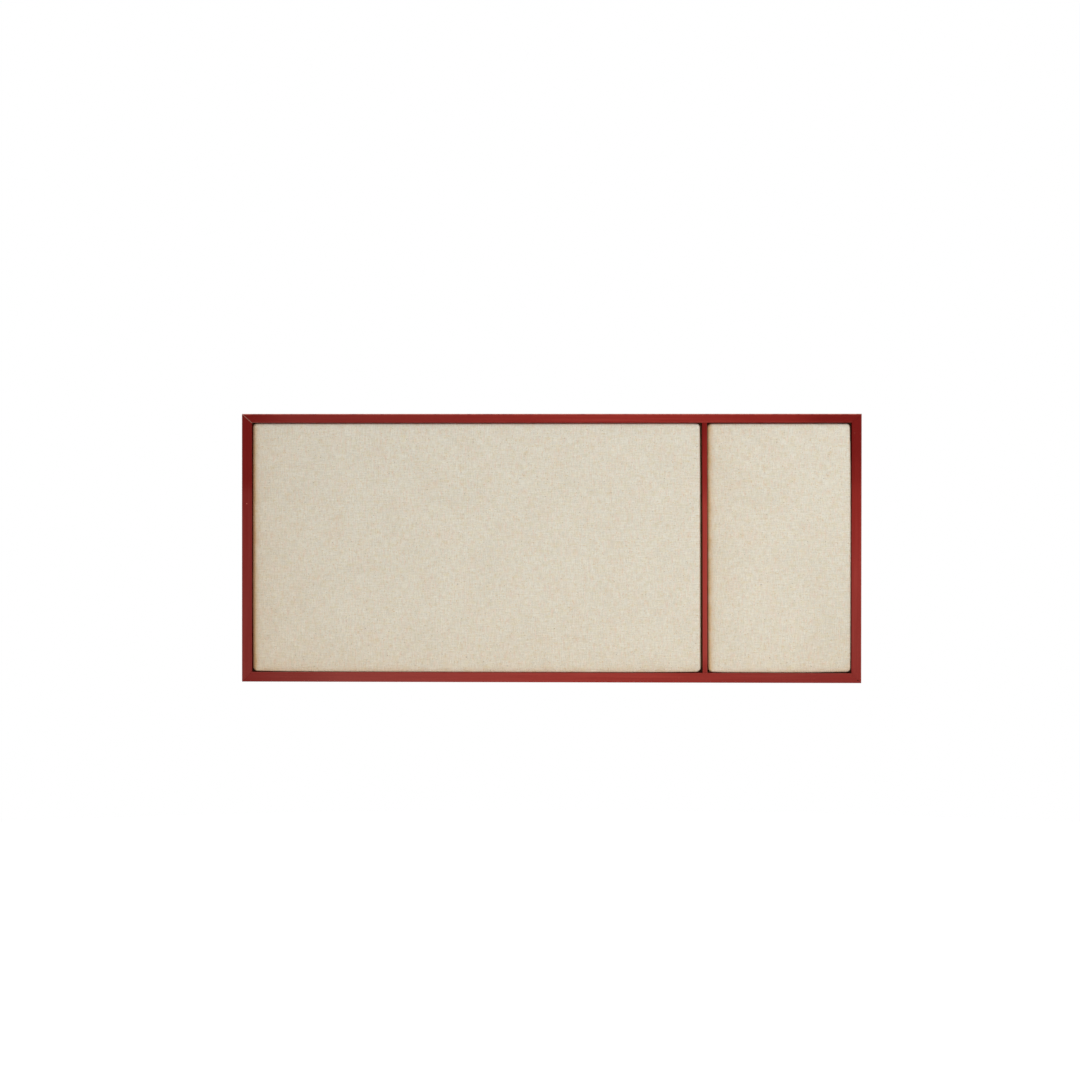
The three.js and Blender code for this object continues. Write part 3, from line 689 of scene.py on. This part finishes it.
# Linen covers and their wadding
panelCloth = {
    "edge": 8.5 * mm,  # from the flat front to the sides
    "corner": 9 * mm,  # round corners, seen from the front
    "leastRound": 1 * mm, "leastSide": 0.2 * mm,
    "backEdge": 0.9 * mm, "turnIn": 28 * mm, "thickness": 0.5 * mm,
    "backGap": 0.35 * mm,  # room for the folded corners
    "loft": 1.5 * mm,  # of the wadding, pressed under the linen
    "loftEdge": 2.0 * mm,  # its own round edge
    "loftShort": 2.6,  # how far it stops inside the linen's edge, in millimetres
    "crown": 1.0 * mm,  # the most that the wadding fills it out
    "frames": 12,
    "rules": {  # of the cloth run; it gives more on the bias
        "mass": 0.05, "air_damping": 5.0, "bending_stiffness": 1.0, "shear_stiffness": 80.0 / 3,
        "tension_stiffness": 80.0, "compression_stiffness": 80.0,
        "use_pressure": True, "uniform_pressure_force": 0.1, "vertex_group_mass": "held",
    },
    "heldDepth": 3 * mm,  # from the back, where it doesn't move
    "behind": 0.6,  # how much less the corners are pulled there than in front
    "depth": 16 * mm,  # from the front to where that is so
    "rimPower": 6,  # how closely a pull keeps to the rim
    "sidePower": 3, "endPower": 8, "liftPower": 2,  # and to the corner
    "unevenness": 0.22 * mm, "unevenScale": 14,  # of the wadding
    "tacking": 0.5 * mm, "tackingScale": 26,  # dips along the edges, from the tacks behind
    "tackingReach": 9,  # reaches are in millimetres
    "edgeShading": {  # painted shade and red bounce light at the edges: share, reach, and how far round the edge it starts
        "left": (0.9, 4.2, 0.5), "bottom": (0.27, 4.0, 0.5), "right": (0.45, 1.0, 0.85),
    },
    "edgeShadingScale": 45,
    "warmFalloff": {"left": (0.1, 80), "bottom": (0.12, 65)},  # painted warm shade towards the left and the bottom: share and reach
    "warmCornerReach": {"left": 130, "bottom": 220},
    "turnSteps": 4, "backSteps": 2, "sideSteps": 3, "edgeSteps": 14,
    "meshSteps": (1.2 * mm, 9 * mm),  # on the front, at the edge and inside
    "meshGrowth": 1.25,
    "wide": {  # millimetres
        "fuller": {"left": 2.75, "right": 0.6, "top": 1.3, "bottom": 1.18},
        "lean": {"left": 0.0, "right": -0.4},  # out at the top, in at the foot
        "round": {"left": 7.5, "right": 4.5, "top": 8.5, "bottom": 2.0},
        "pull": {  # of the corners, inward, and of the edge beside them
            (1, 1): (1.3, 0.4, 0.0), (1, -1): (-0.3, 1.5, 0.5),
            (-1, 1): (0.4, 0.2, -0.2), (-1, -1): (1.2, 2.0, 0.0),
        },
        "lowRightShade": 0.0,  # how much painted shade darkens the lower right corner
        "foot": 0.19,  # how much painted warm light tints the lower left corner
        "seed": 3.0,
    },
    "narrow": {
        "fuller": {"left": 1.45, "right": 1.25, "top": 0.9, "bottom": 1.1},
        "lean": {"left": 1.2, "right": 0.0},
        "round": {"left": 4.5, "right": 4.5, "top": 8.5, "bottom": 3.4},
        "pull": {
            (1, 1): (3.5, 0.2, 0.0), (1, -1): (0.5, -0.4, 2.9),
            (-1, 1): (0.0, 0.5, 0.0), (-1, -1): (0.4, 1.8, 0.0),
        },
        "lowRightShade": 0.12, "foot": 0.0, "seed": 11.0,
    },
}


def clothLines(half, edge, side, turnIn):  # mesh lines on the flat cloth, closer at its edges
    look = panelCloth
    stops = [0.0]

    def walk(total, count):
        start = stops[-1]
        stops.extend(start + total * (i + 1) / count for i in range(count))

    if turnIn:
        walk(turnIn, look["turnSteps"])
        walk(look["backEdge"] * quarter, look["backSteps"])
    walk(side, look["sideSteps"])
    walk(edge * quarter, look["edgeSteps"])
    (step, widest), left = look["meshSteps"], half
    while left > step * 1.5:  # so that the last strip isn't too narrow
        walk(step, 1)
        left -= step
        step = min(step * look["meshGrowth"], widest)
    walk(left, 1)
    outer = [stops[-1] - stop for stop in reversed(stops)]  # from the middle out
    return [-value for value in reversed(outer[1:])] + outer


def edgeProfile(run, edge, curve, side):  # how far out and how deep, a run past the flat front
    backEdge = panelCloth["backEdge"]
    bend, turn = edge * quarter, backEdge * quarter
    if run <= bend:
        flat, arc = edge - curve, curve * quarter
        walked = run / bend * (2 * flat + arc)
        if walked <= flat:
            return walked, 0.0
        if walked <= flat + arc:
            angle = (walked - flat) / curve
            return flat + curve * math.sin(angle), curve * (1 - math.cos(angle))
        return edge, curve + walked - flat - arc
    run -= bend
    if run <= side:
        return edge, edge + run
    run -= side
    if run <= turn:
        angle = run / backEdge
        return edge - backEdge * (1 - math.cos(angle)), edge + side + backEdge * math.sin(angle)
    return edge - backEdge - (run - turn), edge + side + backEdge


def fade(away, reach):  # 1 at an edge, less and less inside it
    return math.exp(-max(away, 0.0) / (reach * mm))


def roughly(s, t, scale, seed):  # noise on the flat cloth
    return noise.noise(Vector((s * scale, t * scale, seed)))


def warmShadeShare(s, t, flatX, flatZ, edge, panel):  # how much painted shade and warm light tint the cloth at a place
    look = panelCloth
    inside = {"left": flatX + s, "right": flatX - s, "bottom": flatZ + t}
    uneven = 1 + 0.5 * roughly(s, t, look["edgeShadingScale"], panel["seed"] + 9)
    edgeShade = [share * uneven * fade(inside[key] + edge * far, reach)
             for key, (share, reach, far) in look["edgeShading"].items()]
    paintedLight = [share * fade(inside[key], reach) for key, (share, reach) in look["warmFalloff"].items()]
    foot = math.prod(fade(inside[key], reach) for key, reach in look["warmCornerReach"].items())
    return min(1.0, max(edgeShade) + max(paintedLight) + panel["foot"] * foot)


def wrapCloth(low, high, panel, fuller, turnIn, inset=0.0):
    look, seed = panelCloth, panel["seed"]
    edge, backEdge = look["edge"] - inset, look["backEdge"]
    corner = look["corner"] - inset - edge  # of the flat front
    low = low - Vector((fuller["left"], 0, fuller["bottom"])) * mm
    high = high + Vector((fuller["right"], 0, fuller["top"])) * mm
    centre, half = (low + high) / 2, (high - low) / 2
    front = low.y + look["crown"]
    side = high.y - front - edge - (backEdge if turnIn else 0.0)
    side = max(side, look["leastSide"])
    flatX, flatZ = half.x - edge, half.z - edge
    total = side + edge * quarter + (backEdge * quarter + turnIn if turnIn else 0.0)
    across = clothLines(flatX, edge, side, turnIn)
    up = clothLines(flatZ, edge, side, turnIn)
    columns, rows = len(across) - 1, len(up) - 1
    bm = bmesh.new()
    ops.create_grid(bm, x_segments=columns, y_segments=rows, size=1.0)
    uv, stain = bm.loops.layers.uv.new("cloth"), bm.verts.layers.float.new("stain")
    flat = {}
    for vert in bm.verts:
        column, row = (vert.co.x + 1) / 2 * columns, (vert.co.y + 1) / 2 * rows
        flat[vert] = (across[round(column)], up[round(row)])
    for part in bm.faces:
        for loop in part.loops:
            loop[uv].uv = flat[loop.vert]
    spare = set()
    for vert, (s, t) in flat.items():
        sideX, sideZ = "left" if s < 0 else "right", "bottom" if t < 0 else "top"
        signX, signZ = -1 if s < 0 else 1, -1 if t < 0 else 1
        x, z = abs(s), abs(t)
        overX, overZ = x - flatX + corner, z - flatZ + corner
        if overX > 0 and overZ > 0:  # round the corner
            away = math.hypot(overX, overZ)
            run, toX, toZ = away - corner, overX / away, overZ / away
        elif overX > overZ:
            run, toX, toZ = overX - corner, 1.0, 0.0
        else:
            run, toX, toZ = overZ - corner, 0.0, 1.0
        if run > total + hair:
            spare.add(vert)
        depth = 0.0
        if run > 0:
            curveX, curveZ = (panel["round"][key] * mm - inset for key in (sideX, sideZ))
            curve = max(look["leastRound"], curveX * toX**2 + curveZ * toZ**2)
            out, depth = edgeProfile(min(run, total), edge, curve, side)
            x += toX * (out - run)
            z += toZ * (out - run)
        held = 1 - look["behind"] * min(1.0, depth / look["depth"])
        pullX, pullZ, lift = (held * much for much in panel["pull"][(signX, signZ)])
        nearX, nearZ = min(1.0, x / half.x), min(1.0, z / half.z)
        inward = pullX * nearZ ** look["sidePower"] - panel["lean"][sideX] * signZ * nearZ
        x -= inward * mm * nearX ** look["rimPower"]
        inward = pullZ * nearX ** look["endPower"] + lift * nearX ** look["liftPower"]
        z -= inward * mm * nearZ ** look["rimPower"]
        ease = max(0.0, 1 - depth / edge)  # full on the front, gone where the side begins
        rim = fade(min(flatX - abs(s), flatZ - abs(t)), look["tackingReach"])
        bump = look["unevenness"] * roughly(s, t, look["unevenScale"], seed) * (1 - rim)
        tacked = 0.5 + 0.5 * roughly(s, t, look["tackingScale"], seed + 5)
        y = front + depth - ease * (bump - look["tacking"] * rim * tacked)
        vert.co = (centre.x + signX * x, y, centre.z + signZ * z)
        vert[stain] = warmShadeShare(s, t, flatX, flatZ, edge, panel)
    waste = [part for part in bm.faces if all(vert in spare for vert in part.verts)]
    ops.delete(bm, geom=waste, context="FACES")
    return bm, (2 * (flatX + total), 2 * (flatZ + total))


def fillOut(cover, pad, rear):  # a cloth run: the wadding presses on linen that is held behind
    look = panelCloth
    start = [vert.co.copy() for vert in cover.data.vertices]
    held = [index for index, point in enumerate(start) if point.y > rear - look["heldDepth"]]
    cover.vertex_groups.new(name="held").add(held, 1.0, "REPLACE")
    cloth = cover.modifiers.new("fill", "CLOTH")
    for key, value in look["rules"].items():
        setattr(cloth.settings, key, value)
    cloth.settings.effector_weights.gravity = 0.0
    for count in range(1, look["frames"] + 1):
        scene.frame_set(count)
    filled = cover.evaluated_get(bpy.context.evaluated_depsgraph_get()).data
    moves = [after.co - before for after, before in zip(filled.vertices, start)]
    moves = [move * min(1.0, look["crown"] / max(move.length, hair)) for move in moves]
    cover.modifiers.remove(cloth)
    cover.vertex_groups.clear()
    scene.frame_set(1)
    nearest = kdtree.KDTree(len(start))
    for index, point in enumerate(start):
        nearest.insert(point, index)
    nearest.balance()
    for vert, move in zip(cover.data.vertices, moves):
        vert.co += move
    for vert in pad.data.vertices:  # the wadding goes with it, but not into the core
        move = moves[nearest.find(vert.co)[1]]
        vert.co += Vector((move.x, min(0.0, move.y), move.z))


def makePanel(name, node, panel):
    look = panelCloth
    low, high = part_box(node + "_wadding")
    short = dict.fromkeys(panel["fuller"], -look["loftShort"])
    bm, _ = wrapCloth(low, high, panel, short, 0.0, look["edge"] - look["loftEdge"])
    pad = addPiece(name + "_pad", bm, finishes["wadding"], node + "_wadding")
    thicken(pad, "loft", look["loft"], -1.0)
    low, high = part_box(node + "_linen")
    high.y -= look["backGap"]
    bm, cut = wrapCloth(low, high, panel, panel["fuller"], look["turnIn"])
    linen = linenFinish(name + "Linen", panel["lowRightShade"])
    cover = addPiece(name + "_cover", bm, linen, node + "_linen")
    fillOut(cover, pad, high.y)
    thicken(cover, "cloth", look["thickness"], -1.0)


makePanel("wide", "large_panel", panelCloth["wide"])
makePanel("narrow", "small_panel", panelCloth["narrow"])
print("linen panels made")

# Screws
screwShape = {
    "shank": 1.5 * mm, "root": 1.15 * mm,
    "point": 3 * mm,  # from the tip to the full thread
    "blunt": 0.5 * mm, "firstThread": 0.6 * mm, "pitch": 1.3 * mm, "runOut": 0.3 * mm,
    "plain": 2.2 * mm,  # under the head
    "headHeight": 2 * mm,
    "dome": [  # radius and height of the head, in millimetres
        (3.05, 0), (3.2, 0.15), (3.2, 0.7), (3.08, 1.1), (2.75, 1.45),
        (2.3, 1.7), (1.75, 1.87), (0.65, 1.98), (0, 2.0),
    ],
    "sides": 24,
    "crossFrom": 1.8 * mm,  # up the head
    "crossMiddle": 0.6 * mm, "crossReach": 1.7 * mm,
    "crossAngle": 14,  # to each side of an arm, in degrees
    "crossDepth": 1.1 * mm, "crossTaper": 0.75,
    "crisp": 35,  # degrees from which an edge stays sharp
}
chance = random.Random(8)


def inCross(part, seat):  # whether a face of the head lies in the cross recess
    shape, middle = screwShape, part.calc_center_median()
    if middle.y <= seat + shape["crossFrom"] or part.normal.y <= 0.5:
        return False
    radius = math.hypot(middle.x, middle.z)
    angle = math.degrees(math.atan2(middle.z, middle.x)) % 90
    onArm = radius < shape["crossReach"] and min(angle, 90 - angle) < shape["crossAngle"]
    return radius < shape["crossMiddle"] or onArm


def makeScrew(node):
    shape = screwShape
    low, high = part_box(node)
    shank, root = shape["shank"], shape["root"]
    seat = high.y - shape["headHeight"] - low.y
    profile = [(0, 0)]
    height = shape["firstThread"]
    while height < seat - shape["plain"]:
        size = min(1.0, (height + shape["blunt"]) / shape["point"])
        profile += [(root * size, height), (shank * size, height + shape["pitch"] * 0.5)]
        height += shape["pitch"]
    profile += [(root, height), (shank, height + shape["runOut"]), (shank, seat)]
    profile += [(radius * mm, seat + rise * mm) for radius, rise in shape["dome"]]
    bm = spinRound(profile, shape["sides"])
    cross = [part for part in bm.faces if inCross(part, seat)]
    sunk = vertsOf(ops.extrude_face_region(bm, geom=cross)["geom"])
    ops.delete(bm, geom=cross, context="FACES_ONLY")
    ops.translate(bm, verts=sunk, vec=(0, -shape["crossDepth"], 0))
    ops.scale(bm, verts=sunk, vec=(shape["crossTaper"], 1, shape["crossTaper"]))
    centre = (low + high) / 2
    spun = Matrix.Rotation(chance.uniform(0, math.pi), 4, "Y")
    setDown(bm, (centre.x, low.y, centre.z), spun)
    smooth(addPiece("zinc_" + node, bm, zincSteel, node), shape["crisp"])


for node in sorted(frame["nodes"]):
    if "screw" in node:
        makeScrew(node)
print("screws made")

# Turn buttons
buttonShape = {
    "hole": 1.8 * mm, "segments": 32, "crisp": 35,
    "ease": 0.25 * mm, "easeAngle": 1.2,  # radians, for the rims alone
}


def makeButton(side):
    shape, count = buttonShape, buttonShape["segments"]
    node = "turn_button_" + side
    low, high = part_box(node)
    pivot = sum(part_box("turn_button_screw_" + side), Vector()) / 2
    reaching = (low + high) / 2 - pivot
    width, length = sorted((high.x - low.x, high.z - low.z))
    bm = bmesh.new()
    rim = ops.create_circle(bm, segments=count, radius=width / 2)["verts"]
    ops.create_circle(bm, segments=count, radius=shape["hole"])
    setDown(bm, (0, 0, 0), Matrix.Rotation(math.pi / count, 4, "Z"))
    far = [vert for vert in rim if vert.co.y < 0]
    ops.translate(bm, verts=far, vec=(0, width - length, 0))
    ops.bridge_loops(bm, edges=bm.edges[:])
    raised = vertsOf(ops.extrude_face_region(bm, geom=bm.faces[:])["geom"])
    ops.translate(bm, verts=raised, vec=(0, 0, high.y - low.y))
    faceOut(bm)
    rims = [edge for edge in bm.edges if edge.calc_face_angle(0) > shape["easeAngle"]]
    bevel(bm, rims, shape["ease"], 3)
    turn = Matrix.Rotation(math.atan2(-reaching.x, -reaching.z), 4, "Y")
    setDown(bm, (pivot.x, high.y, pivot.z), turn @ Matrix.Rotation(quarter, 4, "X"))
    smooth(addPiece("steel_" + node, bm, zincSteel, node), shape["crisp"])


for side in ("top_left", "top_middle", "top_right", "bottom_left", "bottom_middle",
             "bottom_right", "side_left", "side_right"):
    makeButton(side)
print("turn buttons made")

# Strap hangers, their rings and the wall bumpers
hangerShape = {
    "strap": 1 * mm, "strapSteps": 10, "footRound": 4.3 * mm,
    "eye": 2.1 * mm,
    "roll": 305, "rollSteps": 22,  # degrees round the ring
    "ease": 0.15 * mm, "easeAngle": 50,
    "wire": 1.1 * mm, "sides": 14, "leg": 6 * mm,
    "bend": 2 * mm, "bendSteps": 6, "bowSteps": 24,
    "weld": 0.01 * mm, "crisp": 60,
}
bumperShape = {
    "ease": 0.3 * mm,
    "waist": (0.98, 0.55),  # shares of radius and height
    "neck": 0.95,
    "shoulder": 1.5 * mm, "shoulderSteps": 6,
    "dimple": [(0.36, 0.0), (0.3, 0.35), (0.0, 0.45)],  # share of radius, millimetres down
    "sides": 40, "crisp": 35,
}


def makeStrap(node, axis, low, high):
    shape = hangerShape
    bm = bmesh.new()
    foot = [bm.verts.new((x, axis.y - shape["eye"], low.z)) for x in (low.x, high.x)]
    edges = drawOut(bm, [bm.edges.new(foot)], (0, 0, axis.z - low.z), shape["strapSteps"])
    bendRound(bm, edges, axis, (1, 0, 0), -shape["roll"], shape["rollSteps"])
    corners = [vert for vert in bm.verts if abs(vert.co.z - low.z) < tiny]
    bevel(bm, corners, shape["footRound"], 8, "VERTICES")
    faceOut(bm)
    strap = addPiece("steel_" + node, bm, zincSteel, node)
    thicken(strap, "strip", shape["strap"], 0.0)
    ease = strap.modifiers.new("ease", "BEVEL")
    ease.width, ease.segments = shape["ease"], 2
    ease.limit_method, ease.angle_limit = "ANGLE", math.radians(shape["easeAngle"])
    strap.modifiers.new("faces", "WEIGHTED_NORMAL")


def makeRing(node, axis, width):
    shape = hangerShape
    half = width / 2 - shape["wire"]
    bend, leg, steps = shape["bend"], shape["leg"], shape["bendSteps"]
    about = (0, 1, 0)
    bm = bmesh.new()
    ops.create_circle(bm, segments=shape["sides"], radius=shape["wire"])
    setDown(bm, (0, 0, 0), Matrix.Rotation(quarter, 4, "Y"))
    end = drawOut(bm, bm.edges[:], (half - bend, 0, 0))
    end = bendRound(bm, end, (half - bend, 0, -bend), about, 90, steps)
    end = drawOut(bm, end, (0, 0, bend - leg))
    end = bendRound(bm, end, (0, 0, -leg), about, 180, shape["bowSteps"])
    end = drawOut(bm, end, (0, 0, leg - bend))
    end = bendRound(bm, end, (bend - half, 0, -bend), about, 90, steps)
    drawOut(bm, end, (half - bend, 0, 0))
    ops.remove_doubles(bm, verts=bm.verts[:], dist=shape["weld"])
    faceOut(bm)
    setDown(bm, axis)
    smooth(addPiece("steel_" + node, bm, zincSteel, node), shape["crisp"])


def makeHanger(side):
    low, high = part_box("hanger_strap_" + side)
    ringLow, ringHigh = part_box("hanger_ring_" + side)
    ringY, ringZ = (ringLow.y + ringHigh.y) / 2, ringHigh.z - hangerShape["wire"]
    axis = Vector(((low.x + high.x) / 2, ringY, ringZ))
    makeStrap("hanger_strap_" + side, axis, low, high)
    makeRing("hanger_ring_" + side, axis, ringHigh.x - ringLow.x)


def makeBumper(side):
    shape, node = bumperShape, "wall_bumper_" + side
    low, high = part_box(node)
    height, radius = high.y - low.y, (high.x - low.x) / 2
    ease, shoulder, steps = shape["ease"], shape["shoulder"], shape["shoulderSteps"]
    profile = [(0, 0), (radius - ease, 0), (radius, ease)]
    profile.append((radius * shape["waist"][0], height * shape["waist"][1]))
    for i in range(steps + 1):
        angle = quarter * i / steps
        out = radius * shape["neck"] - shoulder * (1 - math.cos(angle))
        profile.append((out, height - shoulder * (1 - math.sin(angle))))
    profile += [(radius * share, height - down * mm) for share, down in shape["dimple"]]
    bm = spinRound(profile, shape["sides"])
    centre = (low + high) / 2
    setDown(bm, (centre.x, low.y, centre.z))
    smooth(addPiece("rubber_" + node, bm, finishes["darkRubber"], node), shape["crisp"])


for side in ("left", "right"):
    makeHanger(side)
    makeBumper(side)
print("hangers and bumpers made")

# Pieces that keep their solid shape
keptFinishes = {"back_board": "hardboard", "panel_core": "softboard", "mitre_spline": "birchPly"}
for name, finish in keptFinishes.items():
    for node in sorted(frame["nodes"]):
        if name in node:
            materials = frame["nodes"][node].data.materials
            materials.clear()
            materials.append(finishes[finish])
print("kept pieces finished")

# Floor, light and camera
studio = {
    "floor": -1.2, "floorRadius": 6.0,
    "floorConstants": {
        "Base Color": (0.86, 0.86, 0.86, 1), "Roughness": 0.9,
        "Specular IOR Level": 0.0, "Emission Strength": 1.0,
    },
    "floorLift": (0.68, 0.68, 0.68, 1),
    "middleLift": (0.42, 0.42, 0.42, 1),  # where the lamps already light it
    "middleRadius": 1.6,
    "ambient": 0.40,
    "lens": 85.57, "film": 36,
    "cameraPlace": (0.1115, -5.0, 0.0608),
    "cameraTurn": (1.525, -0.5185, -0.046, 90),  # yaw, pitch, roll, and from down to ahead
}
lamps = {  # place, size, watts and colour
    "key": ((2.4, -3.4, 2.0), (1.6, 1.6), 96.5, (1.0, 0.99, 0.97)),
    "lowCard": ((0.0, -1.8, -1.05), (2.0, 0.5), 10.0, (1.0, 0.88, 0.72)),
    "backFill": ((-1.4, 3.0, 1.3), (1.8, 1.8), 70, (1.0, 1.0, 1.0)),
}


def makeFloor():
    height = studio["floor"]
    bm = bmesh.new()
    ops.create_circle(bm, cap_ends=True, segments=128, radius=studio["floorRadius"])
    setDown(bm, (0, 0, height))
    finish = Finish("paleFloor", studio["floorConstants"])
    middle = finish.near(finish.place(), (0, 0, height), studio["middleRadius"])
    lift = finish.blend(middle, studio["floorLift"], studio["middleLift"])
    finish.feed({"Emission Color": finish.blend(finish.seen(), (0, 0, 0, 1), lift)})
    floor = addObject("floor", bm, finish.material)


def makeWorld():
    world = bpy.data.worlds.new("studio")
    world.use_nodes = True
    scene.world = world
    world.node_tree.nodes.clear()
    sky = Nodes(world.node_tree)
    strength = studio["ambient"] + sky.seen() * (1 - studio["ambient"])
    light = sky.node("Background", None, {"Color": (1, 1, 1, 1), "Strength": strength})
    sky.node("OutputWorld", None, {"Surface": light})


def makeLamp(name, place, size, watts, colour):
    light = bpy.data.lights.new(name, "AREA")
    light.shape = "RECTANGLE"
    light.size, light.size_y = size
    light.energy = watts
    light.color = colour
    lamp = bpy.data.objects.new(name, light)
    lamp.location = place
    lamp.rotation_euler = (-Vector(place)).to_track_quat("-Z", "Y").to_euler()
    scene.collection.objects.link(lamp)


def makeCamera():
    data = bpy.data.cameras.new("photoCamera")
    data.lens, data.sensor_width = studio["lens"], studio["film"]
    data.sensor_fit = "HORIZONTAL"
    camera = bpy.data.objects.new("photoCamera", data)
    turn = Matrix.Translation(studio["cameraPlace"])
    for angle, axis in zip(studio["cameraTurn"], "ZXYX"):
        turn = turn @ Matrix.Rotation(math.radians(angle), 4, axis)
    camera.matrix_world = turn
    scene.collection.objects.link(camera)
    scene.camera = camera


makeFloor()
makeWorld()
for name, lamp in lamps.items():
    makeLamp(name, *lamp)
makeCamera()
print("studio made")
